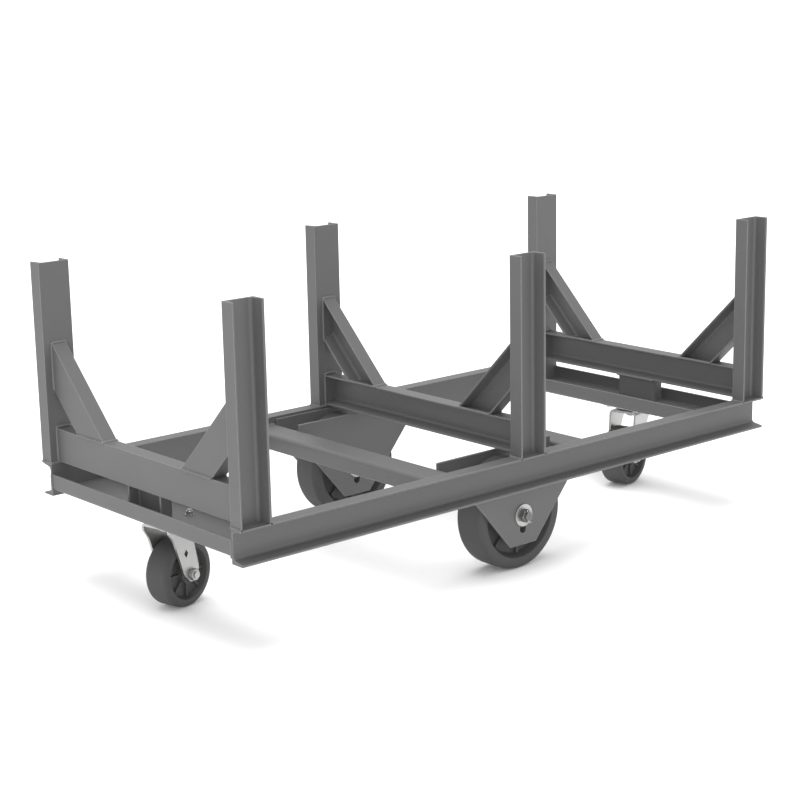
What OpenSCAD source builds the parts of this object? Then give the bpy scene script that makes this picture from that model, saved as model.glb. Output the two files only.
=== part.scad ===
// Bar cradle truck: a channel frame with six uprights, two large centre wheels and a swivel caster at each end.
// X runs along the truck, Y across it and Z up. The origin is on the floor, under the middle of the frame.

/* [Overall size] */
// Length of the frame
truck_l = 1625.6; // [1450:0.1:1900]
// Width of the frame over the flange tips
truck_w = 762; // [660:0.1:900]
// Length of each upright, above the rail
upright_h = 457.2; // [300:0.1:600]
// Height of a swivel caster from the floor to the end channel
caster_h = 211; // [205:0.1:216]

/* [Rolled channel] */
// Depth of the channel over its flanges
section_d = 76.2; // [72:0.1:84]
// Width of a flange, over the web
flange_w = 35.8; // [33:0.1:40]
// Thickness of the web
web_t = 4.3; // [3.8:0.1:6]
// Thickness of a flange at its tip
flange_tip_t = 4.3; // [3.8:0.1:5]
// Radius between web and flange
root_r = 7.5; // [5:0.1:8.5]
// Radius inside the tip of a flange
toe_r = 2.5; // [1.5:0.1:3]

/* [Cradle] */
// Gap from the top of a rail to the underside of a beam
beam_lift = 2.5; // [1:0.1:5]
// Length of a brace's outer edge on the beam, and on the upright
brace_leg = 196.6; // [160:0.1:230]
// Leg of the fillet weld at the toe of a brace
toe_weld = 5; // [3:0.1:8]

/* [End channels] */
// Width of an end channel along the truck
end_w = 146; // [140:0.1:160]
// Height of an end channel's flanges
end_h = 38.1; // [30:0.1:45]
// Height of an end channel above the underside of the rails
end_lift = 12.7; // [9:0.1:16]
// Thickness of the formed plate
formed_t = 4.76; // [4:0.01:6]
// Outside radius of its bends
bend_r = 9.5; // [7.5:0.1:12]
// Width of a spacer across the truck
spacer_w = 127; // [122:0.1:150]
// Depth of a spacer along the truck
spacer_d = 31.8; // [29:0.1:34]

/* [Cross-members] */
// Width of a cross-member along the truck
cross_w = 76.2; // [70:0.1:90]
// Height of its flanges, which point down
cross_h = 38.1; // [30:0.1:45]
// Distance of its top below the top of the rails
cross_inset = 19.05; // [15:0.01:23]

/* [Hanger plates] */
// Thickness of a hanger plate
hanger_t = 6.35; // [5:0.01:8]
// Width of a plate at its top, between the cross-members
hanger_top_w = 355.6; // [320:0.1:420]
// Width of a plate at its foot
hanger_foot_w = 81.3; // [70:0.1:100]
// Reach of a plate below the rails
hanger_drop = 138.4; // [130:0.1:145]
// Distance of a plate's top below the top of the rails
hanger_inset = 6.35; // [3:0.01:10]
// Height of the square edge that meets the cross-member
hanger_land = 45.5; // [40:0.1:53]
// Width of the axle slot beyond the axle
slot_slack = 1.6; // [0.6:0.1:3]
// Travel that the slot gives the axle
slot_travel = 33; // [15:0.1:36]

/* [Centre wheels] */
// Diameter of a centre wheel
wheel_d = 260; // [250:0.1:264]
// Width of its tread
wheel_w = 79.4; // [66:0.1:80]
// Length of its hub
hub_l = 82.5; // [81:0.1:90]
// Diameter of its hub
hub_d = 68; // [62:0.1:80]
// Diameter of the axle bolt
axle_d = 19.05; // [17:0.01:20]
// Outside diameter of the sleeve on the axle
sleeve_d = 28.6; // [26:0.1:31]
// Diameter of a bearing roller
roller_d = 8; // [6:0.1:9]

/* [Casters] */
// Diameter of a caster wheel
caster_wheel_d = 152.4; // [140:0.1:158]
// Width of its tread
caster_wheel_w = 63.5; // [50:0.1:65]
// Length of its hub
caster_hub_l = 66.7; // [66:0.1:72]
// Diameter of its hub
caster_hub_d = 46; // [42:0.1:54]
// Diameter of the caster axle
caster_axle_d = 15.9; // [13:0.1:17]
// Outside diameter of the sleeve on the caster axle
caster_sleeve_d = 22.2; // [21:0.1:24]
// Diameter of a caster's bearing roller
caster_roller_d = 6; // [5:0.1:7]
// Distance of the axle behind the swivel centre
trail = 35; // [30:0.1:42]
// Angle that the left caster trails at, from the truck's right
left_angle = 14; // [0:1:359]
// Angle that the right caster trails at
right_angle = 192; // [0:1:359]
// Length of the top plate across the truck
plate_l = 114.3; // [110:0.1:125]
// Width of the top plate along the truck
plate_w = 101.6; // [94:0.1:110]
// Thickness of the top plate
plate_t = 6.35; // [5:0.01:8]
// Bolt spacing along the truck
bolt_pitch_x = 66.7; // [62:0.1:72]
// Bolt spacing across the truck
bolt_pitch_y = 92.1; // [88:0.1:96]
// Diameter of a mounting bolt
bolt_d = 9.5; // [8:0.1:10]
// Thickness of the fork
fork_t = 6.35; // [5:0.01:7.5]
// Diameter of the kingpin
kingpin_d = 15.9; // [14:0.1:18]
// Diameter of a swivel ball
ball_d = 8; // [7:0.1:9]
// Radius of the ring of balls
ball_ring_r = 28; // [25:0.1:31]

/* [Hidden] */
$fn = 96;

// Finishes
paint = [0.49, 0.49, 0.49];
zinc = [0.74, 0.74, 0.74];
moulding = [0.3, 0.3, 0.3];

// Clearances: between turning pieces, in a running fit, in a bolt hole, and the overrun of a cut
run_gap = 0.4;
fit_gap = 0.05;
bolt_hole_gap = 0.4;
cut = 1;
arc_steps = 5;

// Levels of the frame
rail_z = caster_h - end_lift;
rail_top = rail_z + section_d;
beam_z = rail_top + beam_lift;
beam_top = beam_z + section_d;
half_l = truck_l / 2;
inner_y = truck_w / 2 - flange_w;

// The flanges of a rolled channel grow thicker towards the web, by one in six
flange_taper_share = 1 / 6;
flange_root_t = flange_tip_t + (flange_w - web_t) * flange_taper_share;

// Middle of each upright along the truck
station_left = -half_l + section_d / 2;
station_middle = 0;
station_right = half_l - section_d / 2;

// Hangers and centre wheels, with places measured across the truck from its middle
hanger_top = rail_top - hanger_inset;
hanger_foot = rail_z - hanger_drop;
wheel_bay = hub_l + 2 * run_gap;
outer_plate_y = inner_y - hanger_t;
wheel_y = outer_plate_y - wheel_bay / 2;
inner_plate_y = outer_plate_y - wheel_bay - hanger_t;
axle_z = wheel_d / 2;
axle_grip = wheel_bay + 2 * hanger_t;
wheel_corner_r = 13;
wheel_bevel = 9;
wheel_rim_d = 206;
wheel_web_t = 40;
wheel_rib_t = 7;
wheel_rib_inset = 12;
wheel_ribs = 8;
lip_r = 2.5;
axle_washer_d = 52;
axle_washer_t = 3.2;
axle_head_af = 27;
axle_head_h = 12;
axle_nut_h = 12;
axle_tail = 5;

// Casters
caster_x = half_l - section_d / 2 - bolt_pitch_x / 2;
boss_h = 5;
boss_d = 76;
race_gap = 3;
plate_z = caster_h - plate_t;
fork_top = plate_z - boss_h - race_gap;
fork_bay = caster_hub_l + 2 * run_gap;
fork_w = fork_bay + 2 * fork_t;
fork_bend_r = 11;
caster_axle_z = caster_wheel_d / 2;
leg_h = fork_top - caster_axle_z;
plate_corner_r = 8;
caster_corner_r = 11;
caster_bevel = 5;
caster_rim_d = 117;
caster_web_t = 34;
caster_rib_t = 5;
caster_rib_inset = 9;
kingpin_head_d = 24;
kingpin_head_h = 5;
kingpin_nut_af = 23.8;
kingpin_nut_h = 11;
kingpin_tail = 2;
caster_head_af = 23.8;
caster_head_h = 8;
caster_nut_h = 11;
caster_axle_tail = 4;
bolt_head_af = 14.3;
bolt_head_h = 6;
bolt_nut_h = 8.3;
bolt_washer_d = 20.6;
bolt_washer_t = 1.6;
bolt_tail = 3;
// Diameter of the flat end of a hexagon, as a share of the width across its flats
face_share = 0.94;
ball_gap = 0.7;
race_clearance = 0.1;
diamond_w = 13;
diamond_h = 20;

// Side outline of a fork, from the top at the front, round the foot and up the back. Each row holds the
// place behind the swivel centre as a share of the trail, the height above the axle as a share of the leg,
// and the corner radius as a share of the trail.
leg_outline_shares = [
    [-0.97, 1, 0], [-0.88, 0.87, 0.3], [-0.44, 0.68, 1.6], [0.31, 0.02, 0.6],
    [0.86, -0.14, 0.3], [1.4, -0.125, 0.34], [1.66, 0.1, 0.5], [1.32, 0.55, 1.6], [1.2, 1, 0]];
diamond_shares = [0.54, 0.42];

function unit(v) = v / norm(v);

// Points of an arc of radius r that rounds the corner b between a and c
function corner_arc(a, b, c, r) =
    r == 0 ? [b] :
    let (u = unit(a - b), w = unit(c - b), half = acos(u * w) / 2,
        centre = b + unit(u + w) * (r / sin(half)),
        p = b + u * (r / tan(half)) - centre,
        q = b + w * (r / tan(half)) - centre,
        start = atan2(p.y, p.x),
        swing = (atan2(q.y, q.x) - start + 540) % 360 - 180)
    [for (i = [0 : arc_steps])
        centre + r * [cos(start + swing * i / arc_steps), sin(start + swing * i / arc_steps)]];

// An outline of rows [x, y, corner radius], with its corners rounded
function rounded(rows) = let (n = len(rows)) [for (i = [0 : n - 1])
    let (before = rows[(i + n - 1) % n], here = rows[i], after = rows[(i + 1) % n])
    each corner_arc([before.x, before.y], [here.x, here.y], [after.x, after.y], here.z)];

// A length of rolled channel along Z: the back of the web lies at x = 0 and the flanges point to +X
module channel_bar(length) {
    linear_extrude(length)
        polygon(rounded([
            [0, 0, 0], [flange_w, 0, 0], [flange_w, flange_tip_t, toe_r], [web_t, flange_root_t, root_r],
            [web_t, section_d - flange_root_t, root_r], [flange_w, section_d - flange_tip_t, toe_r],
            [flange_w, section_d, 0], [0, section_d, 0]]));
}

// A plate bent to a U with its web along x and open towards +Y
module formed_channel(w, h, length, thick = formed_t, radius = bend_r) {
    linear_extrude(length)
        polygon(rounded([
            [0, h, 0], [0, 0, radius], [w, 0, radius], [w, h, 0], [w - thick, h, 0],
            [w - thick, thick, radius - thick], [thick, thick, radius - thick], [thick, h, 0]]));
}

// What is drawn on the near side, or mirrored to the far side
module on_side(side) {
    mirror([0, side == "far" ? 1 : 0, 0]) children();
}

module rail(side) {
    color(paint) on_side(side)
        translate([half_l, -inner_y, rail_z]) rotate([90, 0, -90]) channel_bar(truck_l);
}

module upright(station, side) {
    color(paint) on_side(side)
        translate([station - section_d / 2, -inner_y, rail_top]) rotate([0, 0, -90]) channel_bar(upright_h);
}

// A beam or brace has its web to the left of the station's middle, or to the right where it is turned
module webbed(station, turned) {
    translate([station, 0, 0]) mirror([turned ? 1 : 0, 0, 0]) translate([-flange_w / 2, 0, 0]) children();
}

// A beam carries the fillet weld that runs across its top at the toe of each brace
module beam(station, turned) {
    toe = inner_y - brace_leg;
    rise = toe_weld / sqrt(2);
    color(paint) webbed(station, turned) {
        translate([0, inner_y, beam_z]) rotate([90, 0, 0]) channel_bar(2 * inner_y);
        for (side = ["near", "far"])
            on_side(side) translate([0, -toe, beam_top]) rotate([90, 0, 90])
                linear_extrude(flange_w)
                    polygon([[0, 0], [0, -cut], [toe_weld, -cut], [toe_weld, 0], [-rise, rise]]);
    }
}

// A brace is cut upright where it meets the upright, and level where it stands on the beam
module brace(station, turned, side) {
    inside_leg = brace_leg - section_d * sqrt(2);
    color(paint) on_side(side) webbed(station, turned)
        translate([0, -inner_y, beam_top])
            intersection() {
                translate([0, inside_leg / 2, inside_leg / 2]) rotate([45, 0, 0])
                    translate([0, 0, -brace_leg]) channel_bar(2 * brace_leg);
                rotate([90, 0, 90])
                    linear_extrude(flange_w)
                        polygon([[inside_leg, 0], [brace_leg, 0], [0, brace_leg], [0, inside_leg]]);
            }
}

// Places of the four bolts of a caster, about its swivel centre
module at_bolts() {
    for (x = [-bolt_pitch_x / 2, bolt_pitch_x / 2], y = [-bolt_pitch_y / 2, bolt_pitch_y / 2])
        translate([x, y, 0]) children();
}

// The left end channel, its end flush with the rails. The right one is its mirror image.
module end_channel(turned) {
    color(paint) mirror([turned ? 1 : 0, 0, 0])
        difference() {
            translate([-half_l, inner_y, caster_h]) rotate([90, 0, 0])
                formed_channel(end_w, end_h, 2 * inner_y);
            translate([-caster_x, 0, caster_h - cut]) at_bolts()
                cylinder(d = bolt_d + bolt_hole_gap, h = formed_t + 2 * cut);
        }
}

// A short upright channel block between the end channel and the beam, open towards the end
module spacer(turned) {
    foot = caster_h + formed_t;
    color(paint) mirror([turned ? 1 : 0, 0, 0])
        translate([station_left + spacer_d / 2, -spacer_w / 2, foot]) rotate([0, 0, 90])
            formed_channel(spacer_w, spacer_d, beam_z - foot);
}

// A formed channel between the webs of the rails, midway in their depth, with its flanges down
module cross_member(turned) {
    color(paint) mirror([turned ? 1 : 0, 0, 0])
        translate([-hanger_top_w / 2 - cross_w, -inner_y, rail_top - cross_inset]) rotate([-90, 0, 0])
            formed_channel(cross_w, cross_h, 2 * inner_y);
}

// A slotted plate. Its outer face stands y from the middle of the truck.
module hanger(y, side) {
    slot_w = axle_d + slot_slack;
    color(paint) on_side(side)
        translate([0, -y, 0]) rotate([90, 0, 0]) translate([0, 0, -hanger_t])
            linear_extrude(hanger_t)
                difference() {
                    polygon([
                        [-hanger_top_w / 2, hanger_top], [-hanger_top_w / 2, hanger_top - hanger_land],
                        [-hanger_foot_w / 2, hanger_foot], [hanger_foot_w / 2, hanger_foot],
                        [hanger_top_w / 2, hanger_top - hanger_land], [hanger_top_w / 2, hanger_top]]);
                    translate([0, axle_z]) circle(d = slot_w);
                    translate([0, axle_z - slot_travel]) circle(d = slot_w);
                    translate([-slot_w / 2, axle_z - slot_travel]) square([slot_w, slot_travel]);
                }
}

// A moulded wheel about the Z axis, with ribbed recesses in both sides
module moulded_wheel(d, w, corner, bevel, rim_d, web, hub, hub_length, bore_r, rib_t, rib_inset) {
    side = w / 2;
    rim_r = rim_d / 2;
    difference() {
        union() {
            rotate_extrude()
                polygon(rounded([
                    [0, -hub_length / 2, 0], [hub / 2, -hub_length / 2, lip_r], [hub / 2, -web / 2, 0],
                    [rim_r - bevel, -web / 2, 0], [rim_r, -side, lip_r], [d / 2, -side, corner],
                    [d / 2, side, corner], [rim_r, side, lip_r], [rim_r - bevel, web / 2, 0],
                    [hub / 2, web / 2, 0], [hub / 2, hub_length / 2, lip_r], [0, hub_length / 2, 0]]));
            for (i = [0 : wheel_ribs - 1])
                rotate([0, 0, 360 * i / wheel_ribs])
                    translate([hub / 2 - bevel, -rib_t / 2, rib_inset - side])
                        cube([rim_r - hub / 2, rib_t, w - 2 * rib_inset]);
        }
        translate([0, 0, -hub_length / 2 - cut]) cylinder(r = bore_r, h = hub_length + 2 * cut);
    }
}

// Rollers about the Z axis, as many as fit round the sleeve
module roller_ring(inner_d, d, length) {
    ring_r = inner_d / 2 + fit_gap + d / 2;
    count = floor(180 / asin((d / 2 + fit_gap) / ring_r));
    for (i = [0 : count - 1])
        rotate([0, 0, 360 * i / count]) translate([ring_r, 0, -length / 2]) cylinder(d = d, h = length);
}

function bore_radius(inner_d, d) = inner_d / 2 + d + 2 * fit_gap;

// A tube about the Z axis
module tube(outer_d, inner_d, length) {
    difference() {
        cylinder(d = outer_d, h = length);
        translate([0, 0, -cut]) cylinder(d = inner_d, h = length + 2 * cut);
    }
}

// A hexagon of a given width across its flats, along Z, with its corners chamfered at both ends
module hexagon(af, h) {
    corner_r = af / cos(30) / 2;
    face_r = face_share * af / 2;
    chamfer = (corner_r - face_r) * tan(30);
    intersection() {
        cylinder(r = corner_r, h = h, $fn = 6);
        rotate_extrude()
            polygon([[0, 0], [face_r, 0], [corner_r, chamfer], [corner_r, h - chamfer], [face_r, h], [0, h]]);
    }
}

// A bolt along Z: the shank starts at z = 0 and the head lies below it
module hex_bolt(d, shank, af, head_h) {
    cylinder(d = d, h = shank);
    translate([0, 0, -head_h]) hexagon(af, head_h);
}

module hex_nut(d, af, h) {
    difference() {
        hexagon(af, h);
        translate([0, 0, -cut]) cylinder(d = d + 2 * fit_gap, h = h + 2 * cut);
    }
}

// Places a piece that runs along Z on a centre wheel's axle, starting y from the middle and running inwards
module on_axle(y, side) {
    on_side(side) translate([0, -y, axle_z]) rotate([-90, 0, 0]) children();
}

module centre_wheel(side) {
    color(moulding) on_axle(wheel_y, side)
        moulded_wheel(wheel_d, wheel_w, wheel_corner_r, wheel_bevel, wheel_rim_d, wheel_web_t, hub_d, hub_l,
            bore_radius(sleeve_d, roller_d), wheel_rib_t, wheel_rib_inset);
}

module centre_rollers(side) {
    color(zinc) on_axle(wheel_y, side) roller_ring(sleeve_d, roller_d, hub_l - 2 * roller_d);
}

module axle_sleeve(side) {
    color(zinc) on_axle(outer_plate_y, side) tube(sleeve_d, axle_d + 2 * fit_gap, wheel_bay);
}

// An axle bolt goes in from the middle of the truck, and its nut is outside
module axle_bolt(side) {
    shank = axle_grip + 2 * axle_washer_t + axle_nut_h + axle_tail;
    color(zinc) on_side(side) translate([0, axle_washer_t - inner_plate_y, axle_z]) rotate([90, 0, 0])
        hex_bolt(axle_d, shank, axle_head_af, axle_head_h);
}

module axle_washer_pair(side) {
    hole_d = axle_d + bolt_hole_gap;
    color(zinc) {
        on_axle(inner_y + axle_washer_t, side) tube(axle_washer_d, hole_d, axle_washer_t);
        on_axle(inner_plate_y, side) tube(axle_washer_d, hole_d, axle_washer_t);
    }
}

module axle_nut(side) {
    color(zinc) on_axle(inner_y + axle_washer_t + axle_nut_h, side) hex_nut(axle_d, axle_head_af, axle_nut_h);
}

// Places a piece that is drawn about the swivel centre at x, turned to the caster's angle
module on_caster(x, angle = 0) {
    translate([x, 0, 0]) rotate([0, 0, angle]) children();
}

// Places a piece that runs along Z on the axle of a caster, starting y to the right of its middle
module on_caster_axle(y) {
    translate([trail, -y, caster_axle_z]) rotate([-90, 0, 0]) children();
}

module ball_track() {
    rotate_extrude() translate([ball_ring_r, 0]) circle(d = ball_d + 2 * race_clearance);
}

module caster_plate(x) {
    track_z = fork_top + race_gap / 2;
    color(zinc) on_caster(x)
        difference() {
            union() {
                translate([0, 0, plate_z])
                    linear_extrude(plate_t)
                        polygon(rounded([
                            [-plate_w / 2, -plate_l / 2, plate_corner_r], [plate_w / 2, -plate_l / 2, plate_corner_r],
                            [plate_w / 2, plate_l / 2, plate_corner_r], [-plate_w / 2, plate_l / 2, plate_corner_r]]));
                translate([0, 0, plate_z - boss_h]) cylinder(d = boss_d, h = boss_h + cut);
            }
            translate([0, 0, plate_z - cut]) at_bolts()
                cylinder(d = bolt_d + bolt_hole_gap, h = plate_t + 2 * cut);
            translate([0, 0, plate_z - boss_h - cut])
                cylinder(d = kingpin_d + 2 * fit_gap, h = boss_h + plate_t + 2 * cut);
            translate([0, 0, caster_h - kingpin_head_h])
                cylinder(d = kingpin_head_d + 2 * fit_gap, h = kingpin_head_h + cut);
            translate([0, 0, track_z]) ball_track();
        }
}

module kingpin(x) {
    foot = fork_top - fork_t - run_gap - kingpin_nut_h - kingpin_tail;
    color(zinc) on_caster(x) {
        translate([0, 0, foot]) cylinder(d = kingpin_d, h = caster_h - kingpin_head_h - foot);
        translate([0, 0, caster_h - kingpin_head_h]) cylinder(d = kingpin_head_d, h = kingpin_head_h);
    }
}

module kingpin_nut(x) {
    color(zinc) on_caster(x) translate([0, 0, fork_top - fork_t - run_gap - kingpin_nut_h])
        hex_nut(kingpin_d, kingpin_nut_af, kingpin_nut_h);
}

module swivel_balls(x, angle) {
    count = floor(180 / asin((ball_d + ball_gap) / 2 / ball_ring_r));
    color(zinc) on_caster(x, angle)
        for (i = [0 : count - 1])
            rotate([0, 0, 360 * i / count])
                translate([ball_ring_r, 0, fork_top + race_gap / 2]) sphere(d = ball_d);
}

// The fork is one pressed plate: a U across the wheel, cut to the side outline
module fork(x, angle) {
    outline = [for (row = leg_outline_shares)
        [row.x * trail, caster_axle_z + row.y * leg_h, row.z * trail]];
    diamond_x = diamond_shares.x * trail;
    diamond_z = caster_axle_z + diamond_shares.y * leg_h;
    color(zinc) on_caster(x, angle)
        difference() {
            intersection() {
                translate([2 * trail, -fork_w / 2, fork_top]) rotate([-90, 0, 90])
                    formed_channel(fork_w, fork_top, 3 * trail, fork_t, fork_bend_r);
                translate([0, fork_w / 2, 0]) rotate([90, 0, 0]) linear_extrude(fork_w) polygon(rounded(outline));
            }
            translate([0, 0, fork_top - fork_t - cut]) cylinder(d = kingpin_d + 2 * fit_gap, h = fork_t + 2 * cut);
            translate([0, 0, fork_top + race_gap / 2]) ball_track();
            on_caster_axle(fork_w / 2 + cut) cylinder(d = caster_axle_d + 2 * fit_gap, h = fork_w + 2 * cut);
            translate([diamond_x, fork_w / 2 + cut, diamond_z]) rotate([90, 0, 0])
                linear_extrude(fork_w + 2 * cut)
                    polygon([[-diamond_w / 2, 0], [0, -diamond_h / 2], [diamond_w / 2, 0], [0, diamond_h / 2]]);
        }
}

module caster_wheel(x, angle) {
    color(moulding) on_caster(x, angle) on_caster_axle(0)
        moulded_wheel(caster_wheel_d, caster_wheel_w, caster_corner_r, caster_bevel, caster_rim_d, caster_web_t,
            caster_hub_d, caster_hub_l, bore_radius(caster_sleeve_d, caster_roller_d), caster_rib_t,
            caster_rib_inset);
}

module caster_rollers(x, angle) {
    color(zinc) on_caster(x, angle) on_caster_axle(0)
        roller_ring(caster_sleeve_d, caster_roller_d, caster_hub_l - 2 * caster_roller_d);
}

module caster_sleeve(x, angle) {
    color(zinc) on_caster(x, angle) on_caster_axle(fork_bay / 2)
        tube(caster_sleeve_d, caster_axle_d + 2 * fit_gap, fork_bay);
}

module caster_axle(x, angle) {
    color(zinc) on_caster(x, angle) translate([trail, fork_w / 2, caster_axle_z]) rotate([90, 0, 0])
        hex_bolt(caster_axle_d, fork_w + caster_nut_h + caster_axle_tail, caster_head_af, caster_head_h);
}

module caster_axle_nut(x, angle) {
    color(zinc) on_caster(x, angle) translate([trail, -fork_w / 2, caster_axle_z]) rotate([90, 0, 0])
        hex_nut(caster_axle_d, caster_head_af, caster_nut_h);
}

// Hardware of both top plates: bolts from below, with a washer and nut inside the end channel
module at_all_bolts(z) {
    for (x = [-caster_x, caster_x])
        on_caster(x) at_bolts() translate([0, 0, z]) children();
}

module caster_bolts() {
    color(zinc) at_all_bolts(plate_z)
        hex_bolt(bolt_d, plate_t + formed_t + bolt_washer_t + bolt_nut_h + bolt_tail, bolt_head_af, bolt_head_h);
}

module caster_washers() {
    color(zinc) at_all_bolts(caster_h + formed_t) tube(bolt_washer_d, bolt_d + bolt_hole_gap, bolt_washer_t);
}

module caster_nuts() {
    color(zinc) at_all_bolts(caster_h + formed_t + bolt_washer_t) hex_nut(bolt_d, bolt_head_af, bolt_nut_h);
}

rail("near");  // near_rail
rail("far");  // far_rail
upright(station_left, "near");  // upright_left_near
upright(station_left, "far");  // upright_left_far
upright(station_middle, "near");  // upright_middle_near
upright(station_middle, "far");  // upright_middle_far
upright(station_right, "near");  // upright_right_near
upright(station_right, "far");  // upright_right_far
beam(station_left, false);  // beam_left
beam(station_middle, true);  // beam_middle
beam(station_right, true);  // beam_right
brace(station_left, false, "near");  // brace_left_near
brace(station_left, false, "far");  // brace_left_far
brace(station_middle, true, "near");  // brace_middle_near
brace(station_middle, true, "far");  // brace_middle_far
brace(station_right, true, "near");  // brace_right_near
brace(station_right, true, "far");  // brace_right_far
end_channel(false);  // end_channel_left
end_channel(true);  // end_channel_right
spacer(false);  // spacer_left
spacer(true);  // spacer_right
cross_member(false);  // cross_member_left
cross_member(true);  // cross_member_right
hanger(inner_y, "near");  // hanger_near_outer
hanger(inner_plate_y + hanger_t, "near");  // hanger_near_inner
hanger(inner_plate_y + hanger_t, "far");  // hanger_far_inner
hanger(inner_y, "far");  // hanger_far_outer
centre_wheel("near");  // near_wheel
centre_wheel("far");  // far_wheel
centre_rollers("near");  // near_rollers
centre_rollers("far");  // far_rollers
for (side = ["near", "far"]) axle_bolt(side);  // axle_bolts
for (side = ["near", "far"]) axle_washer_pair(side);  // axle_washers
for (side = ["near", "far"]) axle_nut(side);  // axle_nuts
for (side = ["near", "far"]) axle_sleeve(side);  // axle_sleeves
caster_bolts();
caster_washers();
caster_nuts();
caster_plate(-caster_x);  // caster_plate_left
kingpin(-caster_x);  // kingpin_left
kingpin_nut(-caster_x);  // kingpin_nut_left
swivel_balls(-caster_x, left_angle);  // swivel_balls_left
fork(-caster_x, left_angle);  // fork_left
caster_wheel(-caster_x, left_angle);  // caster_wheel_left
caster_rollers(-caster_x, left_angle);  // caster_rollers_left
caster_sleeve(-caster_x, left_angle);  // caster_sleeve_left
caster_axle(-caster_x, left_angle);  // caster_axle_left
caster_axle_nut(-caster_x, left_angle);  // caster_axle_nut_left
caster_plate(caster_x);  // caster_plate_right
kingpin(caster_x);  // kingpin_right
kingpin_nut(caster_x);  // kingpin_nut_right
swivel_balls(caster_x, right_angle);  // swivel_balls_right
fork(caster_x, right_angle);  // fork_right
caster_wheel(caster_x, right_angle);  // caster_wheel_right
caster_rollers(caster_x, right_angle);  // caster_rollers_right
caster_sleeve(caster_x, right_angle);  // caster_sleeve_right
caster_axle(caster_x, right_angle);  // caster_axle_right
caster_axle_nut(caster_x, right_angle);  // caster_axle_nut_right
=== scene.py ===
"""Bar cradle truck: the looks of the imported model, put on in the order the truck is put together.

Everything is in metres, with Z up.
"""

import math

import bpy
from mathutils import Matrix, Vector


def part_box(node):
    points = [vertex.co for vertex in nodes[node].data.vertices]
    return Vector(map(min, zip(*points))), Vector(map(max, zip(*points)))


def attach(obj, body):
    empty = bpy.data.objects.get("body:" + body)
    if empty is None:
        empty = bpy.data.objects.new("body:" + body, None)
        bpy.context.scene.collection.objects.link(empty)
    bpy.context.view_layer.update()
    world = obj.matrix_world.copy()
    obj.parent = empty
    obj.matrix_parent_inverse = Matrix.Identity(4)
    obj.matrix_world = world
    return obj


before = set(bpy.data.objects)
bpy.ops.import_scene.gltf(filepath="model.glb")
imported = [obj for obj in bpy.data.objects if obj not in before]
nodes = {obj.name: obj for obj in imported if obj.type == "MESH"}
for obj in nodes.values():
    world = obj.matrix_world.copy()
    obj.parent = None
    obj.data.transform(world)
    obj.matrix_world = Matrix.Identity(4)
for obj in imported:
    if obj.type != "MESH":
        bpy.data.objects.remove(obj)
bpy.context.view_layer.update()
MM = 0.001


# The view: a long lens at about chest height, off the truck's left end and near side. The place, heading
# and lens were worked out from the edges of the photograph.
camera_place = (-2.875, -3.271, 1.36)
heading = math.radians(40.65)
dip = math.radians(13.14)
roll = math.radians(-1.15)
lens = 84.2
film_width = 36

camera = bpy.data.objects.new("camera", bpy.data.cameras.new("camera"))
camera.data.lens = lens
camera.data.sensor_width = film_width
turn = Matrix.Rotation(-heading, 4, "Z") @ Matrix.Rotation(math.pi / 2 - dip, 4, "X")
camera.matrix_world = Matrix.Translation(camera_place) @ turn @ Matrix.Rotation(roll, 4, "Z")
bpy.context.scene.collection.objects.link(camera)
bpy.context.scene.camera = camera


# The studio: a white floor without a seam under an even white sky, one wide soft lamp overhead, which
# lights the tops of the channels most, and two weak fills without shadows, one on the camera's side and one
# behind, which lift the upright faces.
floor_half = 200
lamp_towards = Vector((-0.02, 0.06, 0.95))
lamp_power = 2.1
fill_towards = Vector((-0.65, -0.76, 0))
fill_rise = Vector((0, 0, 0.2))
fill_power = 0.9
light_spread = math.radians(50)


def linear(hex_colour):
    """An sRGB hex colour as the linear values that shaders take."""
    channels = [int(hex_colour[i : i + 2], 16) / 255 for i in (1, 3, 5)]
    return (*[c / 12.92 if c <= 0.04045 else ((c + 0.055) / 1.055) ** 2.4 for c in channels], 1)


def add_node(tree, kind, inputs=None, **settings):
    """Adds a node with its settings, and its inputs as values or as links from sockets."""
    node = tree.nodes.new(kind)
    for name, value in settings.items():
        setattr(node, name, value)
    for key, value in (inputs or {}).items():
        if isinstance(value, bpy.types.NodeSocket):
            tree.links.new(value, node.inputs[key])
        else:
            node.inputs[key].default_value = value
    return node


def empty_material(name):
    """A new material, its tree, and the place on the piece that its patterns follow."""
    material = bpy.data.materials.new(name)
    material.use_nodes = True
    tree = material.node_tree
    tree.nodes.clear()
    return material, tree, add_node(tree, "ShaderNodeTexCoord").outputs["Object"]


def patches(tree, place, dark, light, scale, detail=2, roughness=0.5):
    """Uneven patches of two shades: how far each spot leans to the light one, and its colour."""
    inputs = {"Vector": place, "Scale": scale, "Detail": detail, "Roughness": roughness}
    lean = add_node(tree, "ShaderNodeTexNoise", inputs).outputs[0]
    # The two colours of a mixer are its inputs 6 and 7, and its colour comes out at 2
    inputs = {"Factor": lean, 6: linear(dark), 7: linear(light)}
    return lean, add_node(tree, "ShaderNodeMix", inputs, data_type="RGBA").outputs[2]


def shade(tree, inputs):
    """Ends a material in one Principled shader."""
    shader = add_node(tree, "ShaderNodeBsdfPrincipled", inputs)
    add_node(tree, "ShaderNodeOutputMaterial", {"Surface": shader.outputs[0]})


def studio_paper():
    """Matt seamless paper. Its tooth is drawn at 11 mm, and keeps it from being a flat colour."""
    material, tree, place = empty_material("studio_paper")
    colour = patches(tree, place, "#f4f4f4", "#f8f8f8", 90)[1]
    shade(tree, {"Base Color": colour, "Roughness": 0.9, "Specular IOR Level": 0.0})
    return material


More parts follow.
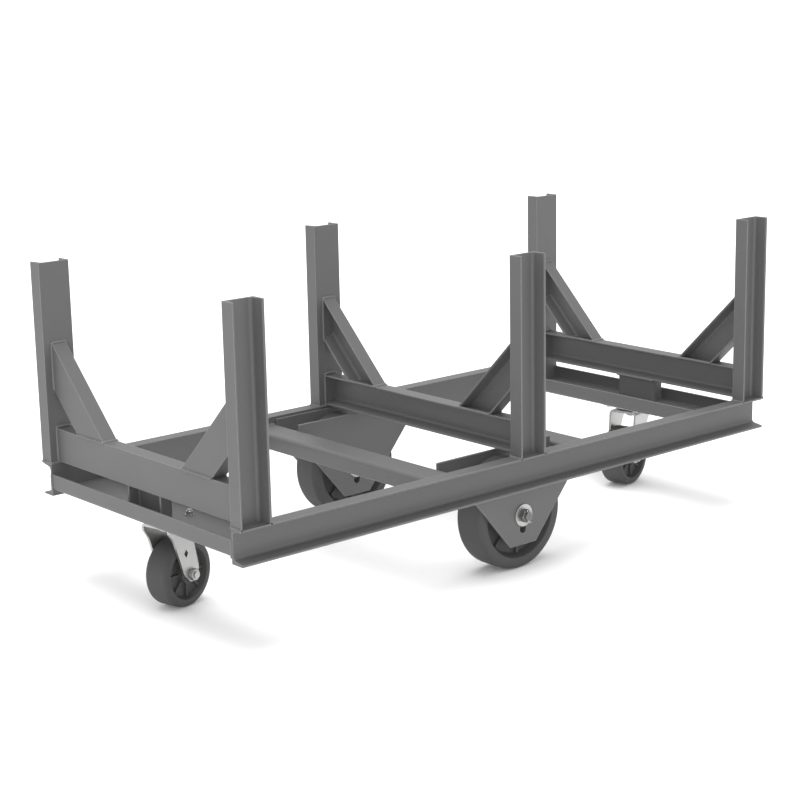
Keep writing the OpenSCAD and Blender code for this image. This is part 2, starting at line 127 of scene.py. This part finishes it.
def wide_light(name, towards, power):
    """A soft light as wide as a large lamp, from one direction."""
    light = bpy.data.objects.new(name, bpy.data.lights.new(name, "SUN"))
    light.data.energy = power
    light.data.angle = light_spread
    light.rotation_mode = "QUATERNION"
    light.rotation_quaternion = towards.to_track_quat("Z", "Y")
    bpy.context.scene.collection.objects.link(light)
    return light


floor_mesh = bpy.data.meshes.new("floor")
corners = [(x * floor_half, y * floor_half, 0) for x, y in ((-1, -1), (1, -1), (1, 1), (-1, 1))]
floor_mesh.from_pydata(corners, [], [(0, 1, 2, 3)])
floor = bpy.data.objects.new("floor", floor_mesh)
floor.data.materials.append(studio_paper())
bpy.context.scene.collection.objects.link(floor)

wide_light("lamp", lamp_towards, lamp_power)
for towards in (fill_towards, -fill_towards):
    fill = wide_light("fill", towards + fill_rise, fill_power)
    fill.data.use_shadow = False
    fill.visible_glossy = False

sky = bpy.data.worlds.new("sky")
sky.use_nodes = True
sky.node_tree.nodes.clear()
glow = add_node(sky.node_tree, "ShaderNodeBackground", {"Color": (1, 1, 1, 1), "Strength": 1.0})
add_node(sky.node_tree, "ShaderNodeOutputWorld", {"Surface": glow.outputs[0]})
bpy.context.scene.world = sky
bpy.context.scene.view_settings.view_transform = "Standard"


# The rails: hot-rolled channel, sawn to length, blasted and sprayed with grey machinery enamel. The mill
# and the coat leave its edges eased.
enamel_easing = 2.6 * MM
# Most values of a noise lie between these two
noise_reach = {"From Min": 0.3, "From Max": 0.7}


def relief(tree, place, scale, strength, depth, normal):
    """The surface's direction, with small bumps put on it."""
    bumps = add_node(tree, "ShaderNodeTexNoise", {"Vector": place, "Scale": scale}).outputs[0]
    inputs = {"Height": bumps, "Strength": strength, "Distance": depth, "Normal": normal}
    return add_node(tree, "ShaderNodeBump", inputs).outputs[0]


def painted_edge_highlight(tree, eased, tone, highlight, most):
    """A tone that goes over to a painted highlight on eased edges, by at most so much."""
    true = add_node(tree, "ShaderNodeNewGeometry").outputs["Normal"]
    facing = add_node(tree, "ShaderNodeVectorMath", {0: eased, 1: true}, operation="DOT_PRODUCT")
    # Cosines: an edge starts where its easing leans 8 degrees off the face, and is full at 31 degrees
    inputs = {"Value": facing.outputs["Value"], "From Min": 0.99, "From Max": 0.86, "To Max": most}
    share = add_node(tree, "ShaderNodeMapRange", inputs).outputs[0]
    # The lighter tone here is a painted highlight, put into the colour itself
    inputs = {"Factor": share, 6: tone, 7: linear(highlight)}
    return add_node(tree, "ShaderNodeMix", inputs, data_type="RGBA").outputs[2]


def grey_enamel():
    """Half-dull sprayed enamel, with orange peel over slow ripples, and a painted highlight along its
    edges.
    """
    material, tree, place = empty_material("grey_enamel")
    # Patches of slightly heavier coat, about 250 mm across
    coat, tone = patches(tree, place, "#545454", "#5a5a5a", 4, 4, 0.6)
    eased = add_node(tree, "ShaderNodeBevel", {"Radius": enamel_easing}, samples=4).outputs[0]
    # A painted highlight along the eased edges of the coat
    colour = painted_edge_highlight(tree, eased, tone, "#9a9a9a", 0.8)
    inputs = {"Value": coat, **noise_reach, "To Min": 0.46, "To Max": 0.58}
    gloss = add_node(tree, "ShaderNodeMapRange", inputs).outputs[0]
    # Ripples from the rolls, about 60 mm apart
    rippled = relief(tree, place, 16, 0.35, 1.2 * MM, eased)
    # Orange peel is about 1 mm across on the real coat, and drawn at 3 mm so that it shows
    peeled = relief(tree, place, 330, 0.12, 0.3 * MM, rippled)
    shade(tree, {"Base Color": colour, "Roughness": gloss, "Normal": peeled})
    return material


def dress(material, *names):
    """Gives CAD nodes one material."""
    for name in names:
        mesh = nodes[name].data
        mesh.materials.clear()
        mesh.materials.append(material)


enamel = grey_enamel()
dress(enamel, "near_rail", "far_rail")


# The uprights: six lengths of the same channel, standing on the rails with their webs inwards and welded
# round the foot. The weld is a small hand-laid bead, painted over with the rest.
bead_radius = 3.2 * MM
bead_ripple = 3.0 * MM
bead_sides = 8
ripple_depth = 0.14
ripple_steps = 4.0
hand_swell = 1.5


def new_tree(name, sizes):
    """A tree that takes lines, some named sizes and a finish, and its input sockets."""
    tree = bpy.data.node_groups.new(name, "GeometryNodeTree")
    tree.is_modifier = True
    tree.interface.new_socket("Geometry", in_out="INPUT", socket_type="NodeSocketGeometry")
    for size in sizes:
        tree.interface.new_socket(size, in_out="INPUT", socket_type="NodeSocketFloat")
    tree.interface.new_socket("Finish", in_out="INPUT", socket_type="NodeSocketMaterial")
    tree.interface.new_socket("Geometry", in_out="OUTPUT", socket_type="NodeSocketGeometry")
    return tree, add_node(tree, "NodeGroupInput").outputs


def stepped(tree, given, spacing, steps):
    """The given lines as paths with so many steps to each spacing, and the angle along them."""
    path = add_node(tree, "GeometryNodeMeshToCurve", {"Mesh": given["Geometry"]}).outputs[0]
    step = add_node(tree, "ShaderNodeMath", {0: given[spacing], 1: steps}, operation="DIVIDE").outputs[0]
    inputs = {"Curve": path, "Length": step}
    path = add_node(tree, "GeometryNodeResampleCurve", inputs, mode="LENGTH").outputs[0]
    along = add_node(tree, "GeometryNodeSplineParameter").outputs["Length"]
    turns = add_node(tree, "ShaderNodeMath", {0: along, 1: given[spacing]}, operation="DIVIDE").outputs[0]
    angle = add_node(tree, "ShaderNodeMath", {0: turns, 1: math.tau}, operation="MULTIPLY").outputs[0]
    return path, angle


def sweep(tree, path, radius, sides, size=1.0):
    """Sweeps a round section along a path, and scales it on the way."""
    ring = add_node(tree, "GeometryNodeCurvePrimitiveCircle", {"Resolution": sides, "Radius": radius})
    inputs = {"Curve": path, "Profile Curve": ring.outputs[0], "Scale": size, "Fill Caps": True}
    return add_node(tree, "GeometryNodeCurveToMesh", inputs).outputs[0]


def finish_tree(tree, given, mesh):
    """Ends a tree in real geometry with its finish."""
    real = add_node(tree, "GeometryNodeRealizeInstances", {"Geometry": mesh}).outputs[0]
    inputs = {"Geometry": real, "Material": given["Finish"]}
    finished = add_node(tree, "GeometryNodeSetMaterial", inputs).outputs[0]
    add_node(tree, "NodeGroupOutput", {"Geometry": finished})
    return tree


def weld_tree():
    """Sweeps a rippled bead along each run of points."""
    tree, given = new_tree("weld_bead", ("Bead radius", "Ripple spacing", "Ripple depth", "Seed"))
    path, angle = stepped(tree, given, "Ripple spacing", ripple_steps)
    wave = add_node(tree, "ShaderNodeMath", {0: angle}, operation="SINE").outputs[0]
    # A hand's unevenness comes about every 11 mm
    inputs = {"W": given["Seed"], "Scale": 90, "Detail": 1}
    hand = add_node(tree, "ShaderNodeTexNoise", inputs, noise_dimensions="4D").outputs[0]
    inputs = {0: hand, 1: 2 * hand_swell, 2: -hand_swell}
    swell = add_node(tree, "ShaderNodeMath", inputs, operation="MULTIPLY_ADD").outputs[0]
    both = add_node(tree, "ShaderNodeMath", {0: wave, 1: swell}, operation="ADD").outputs[0]
    inputs = {0: both, 1: given["Ripple depth"], 2: 1.0}
    size = add_node(tree, "ShaderNodeMath", inputs, operation="MULTIPLY_ADD").outputs[0]
    bead = sweep(tree, path, given["Bead radius"], bead_sides, size)
    smooth = add_node(tree, "GeometryNodeSetShadeSmooth", {"Geometry": bead}).outputs[0]
    return finish_tree(tree, given, smooth)


def grow(name, tree, values, runs, body):
    """Runs a tree over lines of points, and keeps the result as a plain mesh that rides on a body."""
    points = [point for run in runs for point in run]
    starts = [sum(len(run) for run in runs[:i]) for i in range(len(runs))]
    edges = [(s + i, s + i + 1) for s, run in zip(starts, runs) for i in range(len(run) - 1)]
    lines = bpy.data.meshes.new(name + "_lines")
    lines.from_pydata(points, edges, [])
    source = bpy.data.objects.new(name + "_lines", lines)
    bpy.context.scene.collection.objects.link(source)
    grower = source.modifiers.new("grow", "NODES")
    grower.node_group = tree
    for socket in tree.interface.items_tree:
        if socket.item_type == "SOCKET" and socket.name in values:
            grower[socket.identifier] = values[socket.name]
    view = bpy.context.evaluated_depsgraph_get()
    mesh = bpy.data.meshes.new_from_object(source.evaluated_get(view))
    source.modifiers.remove(grower)
    bpy.data.objects.remove(source)
    piece = bpy.data.objects.new(name, mesh)
    bpy.context.scene.collection.objects.link(piece)
    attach(piece, body)


bead_tree = weld_tree()


def weld(name, runs, seed):
    """Lays a bead along each run. Each weld has its own seed, and each group's seeds start at a new ten."""
    values = {
        "Bead radius": bead_radius,
        "Ripple spacing": bead_ripple,
        "Ripple depth": ripple_depth,
        "Seed": float(seed),
        "Finish": enamel,
    }
    grow(name, bead_tree, values, runs, "frame")


places = ("left", "middle", "right")
sides = {"near": -1, "far": 1}
uprights = [(place, side) for place in places for side in sides]
for seed, (place, side) in enumerate(uprights):
    node = f"upright_{place}_{side}"
    dress(enamel, node)
    low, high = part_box(node)
    inner, tip = (high.y, low.y) if side == "near" else (low.y, high.y)
    runs = [[(x, inner, low.z), (x, tip, low.z)] for x in (low.x, high.x)]
    runs.append([(low.x, inner, low.z), (high.x, inner, low.z)])
    weld(f"foot_weld_{place}_{side}", runs, seed)


# The cradle: a beam of the same channel between the webs of each pair of uprights, a little above the
# rails, with a mitred length at 45 degrees from each upright down to the beam. All are welded along the
# joints that show. The bead at a brace's toe sits a little up its face, over the model's own fillet.
toe_climb = 1.5 * MM

for seed, place in enumerate(places, 10):
    node = f"beam_{place}"
    dress(enamel, node)
    low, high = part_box(node)
    runs = []
    for y in (low.y, high.y):
        runs.append([(low.x, y, high.z), (high.x, y, high.z)])
        runs += [[(x, y, low.z), (x, y, high.z)] for x in (low.x, high.x)]
    weld(f"beam_weld_{place}", runs, seed)

# A 45 degree cut across a brace is longer than the channel's depth, which is the rail's
rail_low, rail_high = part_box("near_rail")
mitre = math.sqrt(2) * (rail_high.z - rail_low.z)
for seed, (place, side) in enumerate(uprights, 20):
    node = f"brace_{place}_{side}"
    dress(enamel, node)
    low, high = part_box(node)
    wall = high.y if side == "far" else low.y
    inwards = -sides[side]
    leg = high.z - low.z
    runs = []
    for x in (low.x, high.x):
        runs.append([(x, wall, high.z - mitre), (x, wall, high.z)])
        runs.append([(x, wall + inwards * (leg - mitre), low.z), (x, wall + inwards * leg, low.z)])
    runs.append([(low.x, wall, high.z), (high.x, wall, high.z)])
    toe = wall + inwards * (leg - toe_climb)
    runs.append([(low.x, toe, low.z + toe_climb), (high.x, toe, low.z + toe_climb)])
    weld(f"brace_weld_{place}_{side}", runs, seed)


# The ends: a wide channel folded from plate, flanges up, welded between the rails, with a short folded
# block under the beam that passes the load down to the caster. The block opens towards the truck's end.
ends = ("left", "right")

for seed, place in enumerate(ends, 30):
    dress(enamel, f"end_channel_{place}", f"spacer_{place}")
    low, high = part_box(f"end_channel_{place}")
    runs = [[(x, y, low.z), (x, y, high.z)] for y in (low.y, high.y) for x in (low.x, high.x)]
    weld(f"end_weld_{place}", runs, seed)
    low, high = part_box(f"spacer_{place}")
    back, mouth = (high.x, low.x) if place == "left" else (low.x, high.x)
    outline = [(mouth, low.y), (back, low.y), (back, high.y), (mouth, high.y)]
    runs = [[(x, y, z) for x, y in outline] for z in (low.z, high.z)]
    weld(f"spacer_weld_{place}", runs, seed + len(ends))


# The middle: two folded channels between the rails, flanges down, welded round their ends, and four plates
# of flame-cut flat with a slot for the axle. The outer plates lap the rails' webs, the inner ones stand
# between the channels, and all are welded to the channels down each face that stands free.
fold_radius = 9.5 * MM
fold_steps = 4


def over_the_fold(low, high, y):
    """The outside of a folded channel at one end: up one flange, across its back and down the other."""
    path = [(low.x, y, low.z)]
    for x, inward, first in ((low.x, 1, 0), (high.x, -1, 1)):
        for step in range(fold_steps + 1):
            angle = math.pi / 2 * abs(first - step / fold_steps)
            across = fold_radius * (1 - math.cos(angle))
            down = fold_radius * (1 - math.sin(angle))
            path.append((x + inward * across, y, high.z - down))
    return path + [(high.x, y, low.z)]


for seed, place in enumerate(ends, 40):
    dress(enamel, f"cross_member_{place}")
    low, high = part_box(f"cross_member_{place}")
    weld(f"cross_weld_{place}", [over_the_fold(low, high, y) for y in (low.y, high.y)], seed)

# The plates' beads run up the flat of a channel's flange, to the start of its fold
flange_foot = low.z
flange_head = high.z - fold_radius
for seed, place in enumerate(("near_outer", "near_inner", "far_inner", "far_outer"), 50):
    dress(enamel, f"hanger_{place}")
    low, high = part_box(f"hanger_{place}")
    faces = {"near_outer": (high.y,), "far_outer": (low.y,)}.get(place, (low.y, high.y))
    runs = [[(x, y, flange_foot), (x, y, flange_head)] for x in (low.x, high.x) for y in faces]
    weld(f"hanger_weld_{place}", runs, seed)


# The centre wheels: one-piece mouldings of phenolic resin filled with macerated canvas, with a ring of ribs
# in the recess of each side.
def phenolic():
    """A dull moulded skin, in which the filler shows as a fine mottle."""
    material, tree, place = empty_material("phenolic_moulding")
    # The filler's flecks are 1 to 2 mm, drawn at 4 mm so that they show
    fleck, tone = patches(tree, place, "#343434", "#404040", 240, 3, 0.7)
    # Lighter and duller scuffs, about 45 mm across
    inputs = {"Vector": place, "Scale": 22, "Detail": 4, "Roughness": 0.65}
    scuff = add_node(tree, "ShaderNodeTexNoise", inputs).outputs[0]
    inputs = {"Factor": scuff, 6: tone, 7: linear("#454545")}
    colour = add_node(tree, "ShaderNodeMix", inputs, data_type="RGBA").outputs[2]
    inputs = {"Value": scuff, **noise_reach, "To Min": 0.5, "To Max": 0.66}
    gloss = add_node(tree, "ShaderNodeMapRange", inputs).outputs[0]
    eased = add_node(tree, "ShaderNodeBevel", {"Radius": 1.5 * MM}, samples=4).outputs[0]
    inputs = {"Height": fleck, "Strength": 0.15, "Distance": 0.3 * MM, "Normal": eased}
    rough = add_node(tree, "ShaderNodeBump", inputs).outputs[0]
    shade(tree, {"Base Color": colour, "Roughness": gloss, "Specular IOR Level": 0.35, "Normal": rough})
    return material


moulding = phenolic()
dress(moulding, "near_wheel", "far_wheel")


# The axles: hexagon bolts and nuts of plain turned steel over zinc-plated washers. The rollers, and the
# sleeve that they run on, are hardened and ground, with a film of grease.
metal_easing = 0.8 * MM


def zinc_plate():
    """Bright plating, a little cloudy, with a painted highlight along its edges."""
    material, tree, place = empty_material("bright_zinc_plate")
    # Clouds about 30 mm across
    cloud, tone = patches(tree, place, "#a0a09f", "#bcbcbb", 35, 4, 0.6)
    eased = add_node(tree, "ShaderNodeBevel", {"Radius": metal_easing}, samples=4).outputs[0]
    # A painted highlight along the eased edges of the plating
    colour = painted_edge_highlight(tree, eased, tone, "#eeeeee", 1.0)
    inputs = {"Value": cloud, **noise_reach, "To Min": 0.3, "To Max": 0.46}
    gloss = add_node(tree, "ShaderNodeMapRange", inputs).outputs[0]
    # The plate's grain is far finer, and drawn at 2 mm so that it shows
    grained = relief(tree, place, 500, 0.1, 0.2 * MM, eased)
    shade(tree, {"Base Color": colour, "Metallic": 0.9, "Roughness": gloss, "Normal": grained})
    return material


def turned_steel():
    """Plain steel, a little dull, with a painted highlight along its edges, and fine marks from the lathe.
    """
    material, tree, place = empty_material("turned_steel")
    # Stains about 6 mm across
    tone = patches(tree, place, "#5c5c5b", "#868684", 180, 3, 0.65)[1]
    eased = add_node(tree, "ShaderNodeBevel", {"Radius": metal_easing}, samples=4).outputs[0]
    # A painted highlight along the eased edges of the steel
    colour = painted_edge_highlight(tree, eased, tone, "#dcdcdc", 1.0)
    # The marks are finer, and drawn at 1 mm so that they show
    marked = relief(tree, place, 900, 0.25, 0.2 * MM, eased)
    shade(tree, {"Base Color": colour, "Metallic": 0.85, "Roughness": 0.48, "Normal": marked})
    return material


def ground_steel():
    """Ground steel: an even shine, with a grain that is far finer and drawn at 1.5 mm so that it shows."""
    material, tree, place = empty_material("ground_bearing_steel")
    grain = add_node(tree, "ShaderNodeTexNoise", {"Vector": place, "Scale": 700}).outputs[0]
    inputs = {"Value": grain, **noise_reach, "To Min": 0.16, "To Max": 0.28}
    gloss = add_node(tree, "ShaderNodeMapRange", inputs).outputs[0]
    shade(tree, {"Base Color": linear("#a8a8a6"), "Metallic": 1.0, "Roughness": gloss})
    return material


zinc = zinc_plate()
steel = ground_steel()
bare_steel = turned_steel()
dress(bare_steel, "axle_bolts", "axle_nuts")
dress(zinc, "axle_washers")
dress(steel, "axle_sleeves", "near_rollers", "far_rollers")


# The axle bolts' ends: each stands out of its nut with its thread, 3/4 inch and ten turns to the inch, and
# with a split pin through it that keeps the nut on. The pin is one wire, up through the bolt, round an eye
# and back, with both legs bent apart below.
thread_pitch = 2.54 * MM
thread_radius = 9.525 * MM
thread_steps = 24.0
ridge_radius = 0.3 * thread_pitch
ridge_sides = 6
pin_radius = 1.3 * MM
pin_eye = 3.8 * MM
pin_curl = 4.5 * MM
pin_steps = 8
eye_turn = math.radians(160)
curl_turn = math.radians(130)


def thread_tree():
    """Winds a ridge round each straight run, one turn to each pitch."""
    tree, given = new_tree("thread_ridge", ("Thread radius", "Pitch", "Ridge radius"))
    path, angle = stepped(tree, given, "Pitch", thread_steps)
    axis = add_node(tree, "GeometryNodeInputTangent").outputs[0]
    outward = add_node(tree, "GeometryNodeInputNormal").outputs[0]
    inputs = {"Vector": outward, "Axis": axis, "Angle": angle}
    spun = add_node(tree, "ShaderNodeVectorRotate", inputs).outputs[0]
    inputs = {0: spun, "Scale": given["Thread radius"]}
    offset = add_node(tree, "ShaderNodeVectorMath", inputs, operation="SCALE").outputs[0]
    wound = add_node(tree, "GeometryNodeSetPosition", {"Geometry": path, "Offset": offset}).outputs[0]
    return finish_tree(tree, given, sweep(tree, wound, given["Ridge radius"], ridge_sides))


def split_pin(y, height):
    """Half of the wire, from the top of its eye to the end of one leg, after its mirror image."""
    eye_height = height + thread_radius + pin_eye
    hooked = height - thread_radius - pin_radius
    half = []
    for step in range(pin_steps + 1):
        angle = math.pi / 2 - eye_turn * step / pin_steps
        half.append((pin_eye * math.cos(angle), y, eye_height + pin_eye * math.sin(angle)))
    for step in range(pin_steps + 1):
        angle = math.pi + curl_turn * step / pin_steps
        half.append((pin_radius + pin_curl * (1 + math.cos(angle)), y, hooked + pin_curl * math.sin(angle)))
    return [(-x, y, z) for x, y, z in reversed(half)] + half[1:]


winding = thread_tree()
ridges = {
    "Thread radius": thread_radius - ridge_radius / 2,
    "Pitch": thread_pitch,
    "Ridge radius": ridge_radius,
    "Finish": bare_steel,
}
# A wire is a bead without ripples, whose spacing only sets the length of its steps
wire = {
    "Bead radius": pin_radius,
    "Ripple spacing": 3 * pin_radius,
    "Ripple depth": 0.0,
    "Seed": 0.0,
    "Finish": zinc,
}
bolt_ends = [corner.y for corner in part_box("axle_bolts")]
nut_faces = [corner.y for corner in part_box("axle_nuts")]
low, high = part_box("near_wheel")
axle_height = (low.z + high.z) / 2
for side, bolt_end, nut_face in zip(sides, bolt_ends, nut_faces):
    run = [(0, nut_face, axle_height), (0, bolt_end, axle_height)]
    grow(f"axle_thread_{side}", winding, ridges, [run], "frame")
    pin = split_pin((bolt_end + nut_face) / 2, axle_height)
    grow(f"split_pin_{side}", bead_tree, wire, [pin], "frame")


# The casters: a pressed top plate bolted under the end channel, a ring of balls, and a fork folded from one
# plate, all zinc plated, with a wheel of the same moulding as the centre wheels.
plated = ("caster_plate", "kingpin", "kingpin_nut", "fork", "caster_axle", "caster_axle_nut")
ground = ("swivel_balls", "caster_rollers", "caster_sleeve")

dress(zinc, "caster_bolts", "caster_washers", "caster_nuts")
for place in ends:
    dress(zinc, *[f"{piece}_{place}" for piece in plated])
    dress(steel, *[f"{piece}_{place}" for piece in ground])
    dress(moulding, f"caster_wheel_{place}")
